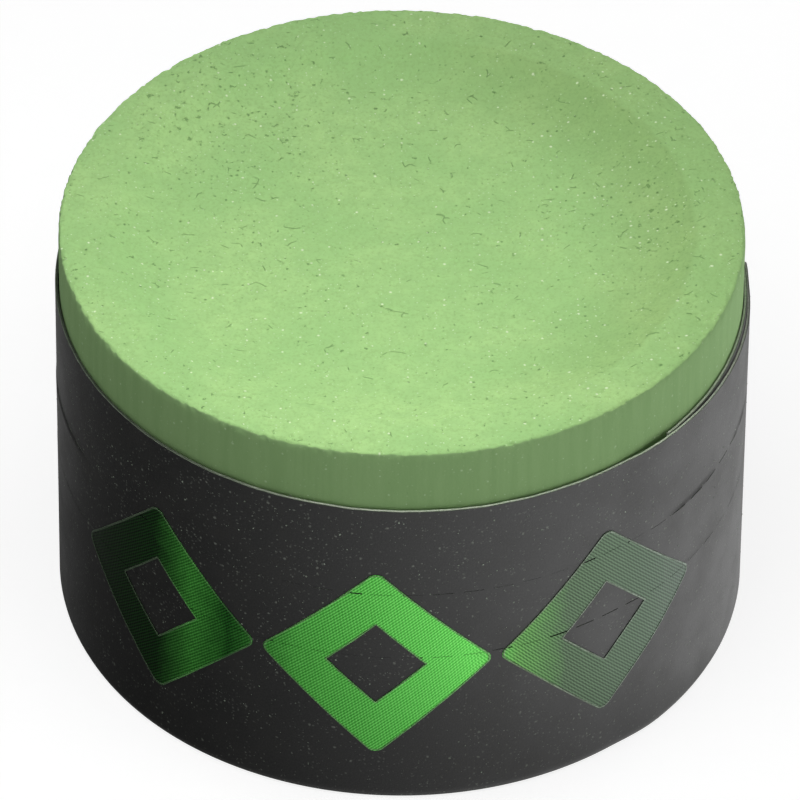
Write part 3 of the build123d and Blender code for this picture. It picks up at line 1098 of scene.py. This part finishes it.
# bearing, elevation, distance, size and power of each lamp, in degrees, metres and watts
LAMPS = {
    "key_left": (-20.0, 65.0, 0.055, 0.03, 0.0062),
    "key_right": (15.0, 75.0, 0.055, 0.02, 0.0090),
    "key_far_left": (-60.0, 70.0, 0.055, 0.03, 0.0036),
    "right_fill": (130.0, 25.0, 0.15, 0.10, 0.066),
    "left_fill": (-120.0, 20.0, 0.15, 0.10, 0.055),
}

# bearing, depression, sharpness and strength of each soft glow from below the horizon
LOW_GLOWS = [
    (65.0, 38.0, 3.0, 1.24),
    (0.0, 38.0, 3.0, 0.53),
    (125.0, 38.0, 3.0, 0.73),
    (0.0, 89.0, 1.0, 0.10),
    (-170.0, 38.0, 8.0, 0.25),
]


def flag_material():
    """Thin dark cloth."""
    n = material_nodes("flag_card")
    weave = n.noise(n.mm, 2.0)
    n.tree.nodes["Principled BSDF"].inputs["Alpha"].default_value = FLAG_OPACITY
    return n.finish(n.mix(weave, srgb(14, 14, 14), srgb(20, 20, 20)), 1.0, specular=0.0)


def stage_disc(name, middle, rings, material):
    """A round sheet of the surroundings, from its middle and its rings' radius and height in metres."""
    turns = [2 * math.pi * k / DISC_SIDES for k in range(DISC_SIDES)]
    points = [
        (middle[0] + radius * math.cos(turn), middle[1] + radius * math.sin(turn), height)
        for radius, height in rings
        for turn in turns
    ]
    mesh = bpy.data.meshes.new(name)
    mesh.from_pydata(points, [], [tuple(range(DISC_SIDES))] + band_faces(len(rings), DISC_SIDES))
    mesh.materials.append(material)
    return add_object(name, mesh)


def build_surroundings():
    """A wide pale tabletop that turns up into a far wall, and a scrim that dims the label's foot."""
    floor = stage_disc("tabletop", (0.0, 0.0), FLOOR_RINGS, floor_material())
    floor.visible_diffuse = False
    floor.visible_glossy = False
    floor.visible_shadow = False
    flag = stage_disc("low_flag", FLAG_MIDDLE, [FLAG_RING], flag_material())
    flag.visible_camera = False


def area_light(name, angle, elevation, distance, size, power):
    """A soft square light that faces the chalk, placed by its bearing round it and its elevation."""
    light = bpy.data.lights.new(name, "AREA")
    light.shape = "SQUARE"
    light.size = size
    light.energy = power
    lamp = add_object(name, light)
    x, y = around(distance * math.cos(math.radians(elevation)), angle)
    target = Vector((0.0, 0.0, CHALK_HEIGHT * MM / 2))
    lamp.location = target + Vector((x, y, distance * math.sin(math.radians(elevation))))
    lamp.rotation_mode = "QUATERNION"
    lamp.rotation_quaternion = (lamp.location - target).to_track_quat("Z", "Y")


def build_world():
    """Soft glows from below the horizon, brightest round each one's own bearing, and darkness above."""
    world = bpy.data.worlds.new("studio")
    bpy.context.scene.world = world
    n = Nodes(world)
    background = n.tree.nodes["Background"]
    background.inputs["Color"].default_value = (1.0, 1.0, 1.0, 1.0)
    place = n.coordinates.outputs["Generated"]
    below = n.math("MULTIPLY", n.split(place)[2], -8.0, clamp=True)
    total = 0.0
    for angle, depression, sharpness, strength in LOW_GLOWS:
        x, y = around(math.cos(math.radians(depression)), angle)
        facing = n.vector("DOT_PRODUCT", place, (x, y, -math.sin(math.radians(depression))))
        glow = n.math("POWER", n.larger(facing, 0.0), sharpness)
        total = n.plus(total, n.times(n.times(glow, below), strength))
    n.link(total, background.inputs["Strength"])


def build_camera():
    """The camera, in front and above, on a long lens, rolled a little."""
    camera = bpy.data.cameras.new("camera")
    camera.lens = CAMERA_LENS
    camera.sensor_width = 36.0
    camera.clip_start = 0.05
    camera.clip_end = 10.0
    eye = add_object("camera", camera)
    forward = Vector((0.0, math.cos(CAMERA_PITCH), -math.sin(CAMERA_PITCH)))
    level_up = Vector((0.0, math.sin(CAMERA_PITCH), math.cos(CAMERA_PITCH)))
    level_right = Vector((1.0, 0.0, 0.0))
    right = math.cos(CAMERA_ROLL) * level_right + math.sin(CAMERA_ROLL) * level_up
    up = -math.sin(CAMERA_ROLL) * level_right + math.cos(CAMERA_ROLL) * level_up
    turn = Matrix((right, up, -forward)).transposed().to_4x4()
    place = Matrix.Translation((0.0, -CAMERA_BACK * LABEL_RADIUS * MM, CAMERA_UP * LABEL_RADIUS * MM))
    eye.matrix_world = place @ turn
    bpy.context.scene.camera = eye


build_surroundings()
build_world()
for name, settings in LAMPS.items():
    area_light(name, *settings)
build_camera()
bpy.context.scene.view_settings.view_transform = "Standard"
